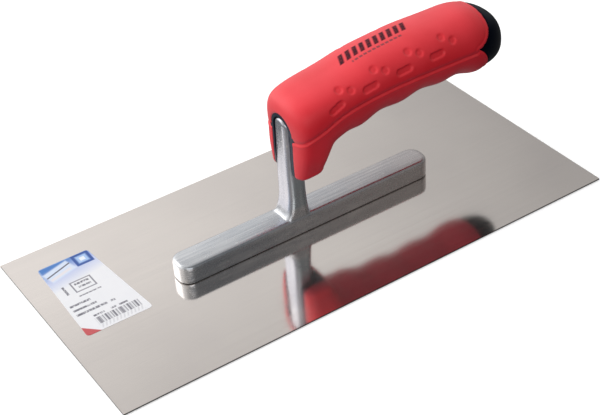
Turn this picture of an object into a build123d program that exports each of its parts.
"""Plasterer's finishing trowel, 280 x 130 mm, with a cast mounting and a two-component grip.

Millimetres. Origin: centre of the blade's underside. +X runs along the blade towards the butt of the
handle, +Y across the blade, +Z up. The trowel is symmetric about the plane Y = 0.
"""
import os
from math import cos, hypot, pi, radians, sin

from build123d import *

# Blade: a flat sheet of stainless spring steel with square corners
BLADE_LENGTH = 280.0
BLADE_WIDTH = 130.0
BLADE_THICK = 0.7

# Foot bar of the casting, lying on the blade
BAR_START = -75.5
BAR_END = 74.5
BAR_WIDTH = 15.5
BAR_TOP = 11.6
BAR_CROWN = 0.5
BAR_CORNER = 6.5
BAR_EDGE = 1.9
BAR_FOOT_BEVEL = 0.6

# Post of the casting, between the bar and the tang. Each section is (height, front x, back x, width).
# The lowest ones flare out into the bar, mostly towards the front.
POST_SECTIONS = [
    (9.0, -17.5, -0.3, 14.6),
    (14.2, -13.2, -0.9, 14.0),
    (18.5, -12.0, -1.2, 13.6),
    (30.0, -11.6, -1.4, 12.8),
    (45.0, -11.4, -1.6, 11.8),
    (60.0, -11.2, -1.8, 10.6),
    (68.0, -11.1, -1.9, 10.0),
]
POST_TOP = 67.2
POST_HEAD_RADIUS = 5.4
POST_CORNER = 3.0
POST_SHOULDER = 1.8
POST_SHOULDER_BAND = 1.0

# Tang of the casting: runs from the post into the handle
TANG_START = -6.0
TANG_END = 88.0
TANG_HEIGHT = 12.0
TANG_WIDTH = 9.0
TANG_TOP = 64.0
TANG_RISE = 12.0
TANG_TAPER = 0.75
TANG_EDGE = 1.5

# Rivets: countersunk from below, heads flush in the blade, shanks closed in blind holes of the bar
RIVET_COUNT = 6
RIVET_PITCH = 25.0
RIVET_SHANK = 4.0
RIVET_HEAD = 6.0
RIVET_DEPTH = 7.5

# Handle: closed shape laid over ribs. Each rib is (outer x, outer z, inner x, inner z, waist, half width,
# squareness). The outer point lies on the front or top of the handle, the inner point on the finger
# side. The waist is the share of the way from the inner to the outer point where the rib is widest.
HANDLE_RIBS = [
    (-10.4, 38.6, 7.0, 39.4, 0.52, 14.0, 3.9),
    (-10.4, 48.0, 8.6, 43.6, 0.55, 16.1, 3.7),
    (-10.4, 60.0, 11.8, 48.8, 0.55, 17.2, 3.4),
    (-10.6, 70.7, 15.0, 50.1, 0.55, 17.9, 2.9),
    (-5.1, 78.1, 24.0, 51.3, 0.57, 18.1, 2.6),
    (18.9, 82.7, 29.0, 51.8, 0.59, 18.4, 2.5),
    (32.0, 85.9, 38.0, 53.1, 0.57, 18.5, 2.4),
    (48.0, 88.1, 50.0, 54.8, 0.53, 18.7, 2.3),
    (64.0, 89.3, 64.0, 56.0, 0.49, 18.9, 2.3),
    (80.0, 89.4, 80.0, 56.5, 0.45, 18.6, 2.3),
    (92.0, 89.7, 92.0, 54.7, 0.45, 18.2, 2.3),
]
RIB_GAP = 5.5
HALF_RIB_POINTS = 13
DOME_LENGTH = 32.0
DOME_TIP_Z = 64.4
DOME_ROUNDNESS = 0.9
DOME_ANGLES = (18, 35, 50, 63, 74, 83, 88)
FOOT_ROUND = 3.6
FOOT_ANGLES = (90, 60, 30)

# Wall between the soft outside and the hard core
GRIP_WALL = 3.2
FIRST_CORE_RIB = 3

# Front slot that the post stands in, and the strip of hard core that lines it
SLOT_HALF_WIDTH = 7.0
LINER_HALF_WIDTH = 8.7
LINER_CROWN = 69.3
LINER_WALL = LINER_HALF_WIDTH - SLOT_HALF_WIDTH
SLOT_BACK = -0.6
LINER_BACK = 4.2
LEG_FRONT = HANDLE_RIBS[0][0]
LEG_FLOOR = HANDLE_RIBS[0][1] - FOOT_ROUND
CUTTER_MARGIN = 5.0

# Small lugs of the liner, one on each side, that close the front end of the grip's side groove
LUG_HALF_WIDTH = 10.0
LUG_BOTTOM = 57.9
LUG_TOP = 60.3
LUG_DEPTH = 2.5

# Side line where the bare end of the core meets the soft grip: an upper lobe, a cusp and a lower lobe.
# Each arc bulges through the point given for it.
LOBE_TOP = (101.0, 96.0)
LOBE_UPPER = (107.0, 80.0)
LOBE_CUSP = (98.0, 71.8)
LOBE_LOWER = (106.0, 61.0)
LOBE_BOTTOM = (105.0, 46.0)
TOP_BULGE = (105.2, 89.0)
UPPER_BULGE = (104.0, 74.5)
LOWER_BULGE = (103.4, 66.6)
BOTTOM_BULGE = (107.0, 54.0)
BUTT_BLOCK_MARGIN = 10.0
BUTT_BLOCK_HALF_WIDTH = 30.0

# Film label on the front left of the blade, as a four-sided outline on the blade's top
LABEL_THICK = 0.12
LABEL_CORNERS = [(-129.2, -9.5), (-94.2, -9.7), (-99.5, 49.5), (-127.0, 49.5)]
LABEL_ROUND = 1.8


def rivet_places():
    """X of each rivet, evenly spaced about the middle of the bar."""
    middle = (BAR_START + BAR_END) / 2
    first = middle - RIVET_PITCH * (RIVET_COUNT - 1) / 2
    return [first + RIVET_PITCH * i for i in range(RIVET_COUNT)]


def rib_wire(rib):
    """Closed superellipse in two mirrored halves, through the rib's outer and inner point."""
    outer_x, outer_z, inner_x, inner_z, share, half_width, squareness = rib
    waist_x = inner_x + (outer_x - inner_x) * share
    waist_z = inner_z + (outer_z - inner_z) * share
    right = [(inner_x, 0, inner_z)]
    for k in range(1, HALF_RIB_POINTS - 1):
        angle = pi * k / (HALF_RIB_POINTS - 1) - pi / 2
        y = half_width * cos(angle) ** (2 / squareness)
        reach = abs(sin(angle)) ** (2 / squareness)
        end_x = outer_x if angle >= 0 else inner_x
        end_z = outer_z if angle >= 0 else inner_z
        right.append((waist_x + (end_x - waist_x) * reach, y, waist_z + (end_z - waist_z) * reach))
    right.append((outer_x, 0, outer_z))
    left = [(x, -y, z) for x, y, z in reversed(right)]
    sideways = [(0, 1, 0), (0, -1, 0)]
    backways = [(0, -1, 0), (0, 1, 0)]
    return Wire([Spline(*right, tangents=sideways), Spline(*left, tangents=backways)])


def knot_slope(before, after):
    """Slope at a knot between two stretches that keeps the curve from overshooting."""
    if before * after <= 0:
        return 0.0
    return 2 * before * after / (before + after)


def filled_values(values, spans):
    """Values at the knots and in between, on a smooth curve; spans are the distances between knots."""
    stretches = [(b - a) / span for a, b, span in zip(values, values[1:], spans)]
    inner = [knot_slope(before, after) for before, after in zip(stretches, stretches[1:])]
    slopes = [stretches[0], *inner, stretches[-1]]
    filled = []
    for i, span in enumerate(spans):
        count = max(1, round(span / RIB_GAP))
        for k in range(count):
            t = k / count
            rise = t**2 * (3 - 2 * t)
            leave = t * (1 - t) ** 2 * span * slopes[i]
            arrive = t**2 * (1 - t) * span * slopes[i + 1]
            filled.append(values[i] + (values[i + 1] - values[i]) * rise + leave - arrive)
    return filled + [values[-1]]


def filled_ribs(ribs):
    """The ribs with more of them in between, on smooth curves through the given ones."""
    spans = []
    for a, b in zip(ribs, ribs[1:]):
        outer_step = hypot(b[0] - a[0], b[1] - a[1])
        inner_step = hypot(b[2] - a[2], b[3] - a[3])
        spans.append(max(outer_step, inner_step))
    columns = [filled_values(values, spans) for values in zip(*ribs)]
    return list(zip(*columns))


def shrunk_rib(rib, wall, drop=0.0):
    """The same rib, smaller by a wall all round and lower by a drop."""
    outer_x, outer_z, inner_x, inner_z, share, half_width, squareness = rib
    height = hypot(outer_x - inner_x, outer_z - inner_z)
    step_x = (inner_x - outer_x) / height * wall
    step_z = (inner_z - outer_z) / height * wall
    outer = (outer_x + step_x, outer_z + step_z - drop)
    inner = (inner_x - step_x, inner_z - step_z - drop)
    return (*outer, *inner, share, half_width - wall, squareness)


def foot_wires():
    """Ribs that round the bottom of the leg: each lower one is smaller."""
    wires = []
    for degrees in FOOT_ANGLES:
        inset = FOOT_ROUND * (1 - cos(radians(degrees)))
        drop = FOOT_ROUND * sin(radians(degrees))
        wires.append(rib_wire(shrunk_rib(HANDLE_RIBS[0], inset, drop)))
    return wires


def dome_wires(ribs, length):
    """Ribs that close the butt: the last two ribs' slopes run on and shrink to a small flat at the tip."""
    before, last = ribs[-2:]
    start_x, _, _, _, share, _, squareness = last
    slopes = [(b - a) / (last[0] - before[0]) for a, b in zip(before, last)]
    tip = [value + slope * length for value, slope in zip(last, slopes)]
    tip_waist = tip[3] + (tip[1] - tip[3]) * share
    wires = []
    for degrees in DOME_ANGLES:
        forward = sin(radians(degrees))
        shrink = cos(radians(degrees)) ** DOME_ROUNDNESS
        x = start_x + length * forward
        _, top, _, bottom, _, half_width, _ = [v + s * length * forward for v, s in zip(last, slopes)]
        waist = bottom + (top - bottom) * share
        centre = waist + (DOME_TIP_Z - tip_waist) * forward**2
        outer_z = centre + (top - waist) * shrink
        inner_z = centre - (waist - bottom) * shrink
        wires.append(rib_wire((x, outer_z, x, inner_z, share, half_width * shrink, squareness)))
    return wires


def handle_outside():
    """Whole outer shape of the handle, laid over the ribs from the leg's bottom to the butt."""
    wires = [rib_wire(rib) for rib in filled_ribs(HANDLE_RIBS)]
    return Solid.make_loft(foot_wires() + wires + dome_wires(HANDLE_RIBS, DOME_LENGTH))


def handle_inside():
    """Outer shape of the core under the soft grip: the same ribs, inset by the grip's wall."""
    ribs = [shrunk_rib(rib, GRIP_WALL) for rib in HANDLE_RIBS[FIRST_CORE_RIB:]]
    wires = [rib_wire(rib) for rib in filled_ribs(ribs)]
    return Solid.make_loft(wires + dome_wires(ribs, DOME_LENGTH - GRIP_WALL))


def arch_prism(half_width, crown, x_back):
    """Upright arch with a half-round top, open downwards, from before the leg back to x_back."""
    spring = crown - half_width
    floor = LEG_FLOOR - CUTTER_MARGIN
    x_front = LEG_FRONT - CUTTER_MARGIN
    outline = [
        Line((-half_width, floor), (-half_width, spring)),
        ThreePointArc((-half_width, spring), (0, crown), (half_width, spring)),
        Line((half_width, spring), (half_width, floor)),
        Line((half_width, floor), (-half_width, floor)),
    ]
    face = Plane(origin=(x_front, 0, 0), x_dir=(0, 1, 0), z_dir=(1, 0, 0)) * make_face(outline)
    return extrude(face, x_back - x_front)


def lug_block():
    """Block across the liner whose ends stand out as the two small lugs."""
    depth = CUTTER_MARGIN + LUG_DEPTH
    block = Box(depth, 2 * LUG_HALF_WIDTH, LUG_TOP - LUG_BOTTOM, align=(Align.MIN, Align.CENTER, Align.MIN))
    return Pos(LEG_FRONT - CUTTER_MARGIN, 0, LUG_BOTTOM) * block


def butt_block():
    """Everything behind the line where the bare core end meets the soft grip."""
    far = HANDLE_RIBS[-1][0] + DOME_LENGTH + BUTT_BLOCK_MARGIN
    outline = [
        ThreePointArc(LOBE_TOP, TOP_BULGE, LOBE_UPPER),
        ThreePointArc(LOBE_UPPER, UPPER_BULGE, LOBE_CUSP),
        ThreePointArc(LOBE_CUSP, LOWER_BULGE, LOBE_LOWER),
        ThreePointArc(LOBE_LOWER, BOTTOM_BULGE, LOBE_BOTTOM),
        Polyline(LOBE_BOTTOM, (far, LOBE_BOTTOM[1]), (far, LOBE_TOP[1]), LOBE_TOP),
    ]
    side_view = Plane(origin=(0, BUTT_BLOCK_HALF_WIDTH, 0), x_dir=(1, 0, 0), z_dir=(0, -1, 0))
    return extrude(side_view * make_face(outline), 2 * BUTT_BLOCK_HALF_WIDTH)


def tang_section(x, z, scale):
    """Rounded cross-section of the tang at a place along it."""
    outline = RectangleRounded(TANG_WIDTH * scale, TANG_HEIGHT * scale, TANG_EDGE)
    return Plane(origin=(x, 0, z), x_dir=(0, 1, 0), z_dir=(1, 0, 0)) * outline


def tang_shape():
    """Tapering tang with rounded edges, from inside the post up to near the butt."""
    middle = TANG_TOP - TANG_HEIGHT / 2
    thick_end = tang_section(TANG_START, middle, 1.0)
    thin_end = tang_section(TANG_END, middle + TANG_RISE, TANG_TAPER)
    return loft([thick_end, thin_end])


def post_cap():
    """Block over the post with a half-round channel in it, which rounds the post's head."""
    _, front_x, back_x, _ = POST_SECTIONS[-1]
    radius = POST_HEAD_RADIUS
    springing = POST_TOP - radius
    side = 2 * radius
    above = POST_TOP + radius
    outline = [
        ThreePointArc((-radius, springing), (0, POST_TOP), (radius, springing)),
        Polyline((radius, springing), (side, springing), (side, above)),
        Polyline((side, above), (-side, above), (-side, springing), (-radius, springing)),
    ]
    front = Plane(origin=(front_x - radius, 0, 0), x_dir=(0, 1, 0), z_dir=(1, 0, 0))
    return extrude(front * make_face(outline), back_x - front_x + side)


def post_shape():
    """Post from its flared foot in the bar to its rounded head in the crown of the slot."""
    sections = []
    for z, front_x, back_x, width in POST_SECTIONS:
        middle = (front_x + back_x) / 2
        sections.append(Pos(middle, 0, z) * RectangleRounded(back_x - front_x, width, POST_CORNER))
    post = loft(sections) - post_cap()
    front = POST_SECTIONS[-1][1] + POST_SHOULDER_BAND
    lowest = POST_TOP - POST_HEAD_RADIUS + POST_SHOULDER_BAND
    rim = [e for e in post.edges() if e.center().X < front and e.center().Z > lowest]
    return fillet(rim, POST_SHOULDER)


def foot_bar():
    """Bar with rounded ends, a slightly crowned top and rounded top edges, standing on the blade."""
    middle = (BAR_START + BAR_END) / 2
    half = BAR_WIDTH / 2
    side_top = BAR_TOP - BAR_CROWN
    section = [
        Line((-half, BLADE_THICK), (-half, side_top)),
        ThreePointArc((-half, side_top), (0, BAR_TOP), (half, side_top)),
        Line((half, side_top), (half, BLADE_THICK)),
        Line((half, BLADE_THICK), (-half, BLADE_THICK)),
    ]
    start = Plane(origin=(BAR_START, 0, 0), x_dir=(0, 1, 0), z_dir=(1, 0, 0))
    length = BAR_END - BAR_START
    crowned = extrude(start * make_face(section), length)
    bar = crowned & Pos(middle, 0) * extrude(RectangleRounded(length, BAR_WIDTH, BAR_CORNER), BAR_TOP)
    bar = fillet(bar.faces().sort_by(Axis.Z)[-1].edges(), BAR_EDGE)
    return chamfer(bar.faces().sort_by(Axis.Z)[0].edges(), BAR_FOOT_BEVEL)


def rivet_solid(x):
    """One rivet: cone head flush with the blade's underside, shank into the bar."""
    upwards = (Align.CENTER, Align.CENTER, Align.MIN)
    head = Pos(x, 0, 0) * Cone(RIVET_HEAD / 2, RIVET_SHANK / 2, BLADE_THICK, align=upwards)
    shank = Pos(x, 0, BLADE_THICK) * Cylinder(RIVET_SHANK / 2, RIVET_DEPTH, align=upwards)
    return head + shank


def blade():
    sheet = Box(BLADE_LENGTH, BLADE_WIDTH, BLADE_THICK, align=(Align.CENTER, Align.CENTER, Align.MIN))
    for x in rivet_places():
        sheet -= rivet_solid(x)
    return sheet


def blade_rivets():
    return Compound([rivet_solid(x).solid() for x in rivet_places()])


def mounting_casting():
    """Foot bar, post and tang as one die casting, with blind holes for the rivets."""
    body = foot_bar() + post_shape() + tang_shape()
    for x in rivet_places():
        body -= rivet_solid(x)
    return body


def slot():
    """Space in the front of the handle that the post stands in."""
    return arch_prism(SLOT_HALF_WIDTH, LINER_CROWN - LINER_WALL, SLOT_BACK)


def handle_core(outside):
    """Hard component: body under the grip, liner of the slot and bare butt end, hollow for the tang."""
    liner = outside & (arch_prism(LINER_HALF_WIDTH, LINER_CROWN, LINER_BACK) + lug_block())
    butt_end = outside & butt_block()
    return handle_inside() + liner + butt_end - slot() - tang_shape()


def soft_grip(outside, core):
    """Soft component: everything between the core and the outside."""
    return outside - core - slot() - tang_shape()


def size_label():
    """Film label with rounded corners on the blade."""
    outline = fillet(make_face(Polyline(*LABEL_CORNERS, close=True)).vertices(), LABEL_ROUND)
    return Pos(0, 0, BLADE_THICK) * extrude(outline, LABEL_THICK)


def main():
    os.makedirs("parts", exist_ok=True)
    outside = handle_outside()
    core = handle_core(outside)
    nodes = {
        "blade": blade(),
        "blade_rivets": blade_rivets(),
        "mounting_casting": mounting_casting(),
        "handle_core": core,
        "soft_grip": soft_grip(outside, core),
        "size_label": size_label(),
    }
    for name, shape in nodes.items():
        export_step(shape, f"parts/{name}.step")


if __name__ == "__main__":
    main()
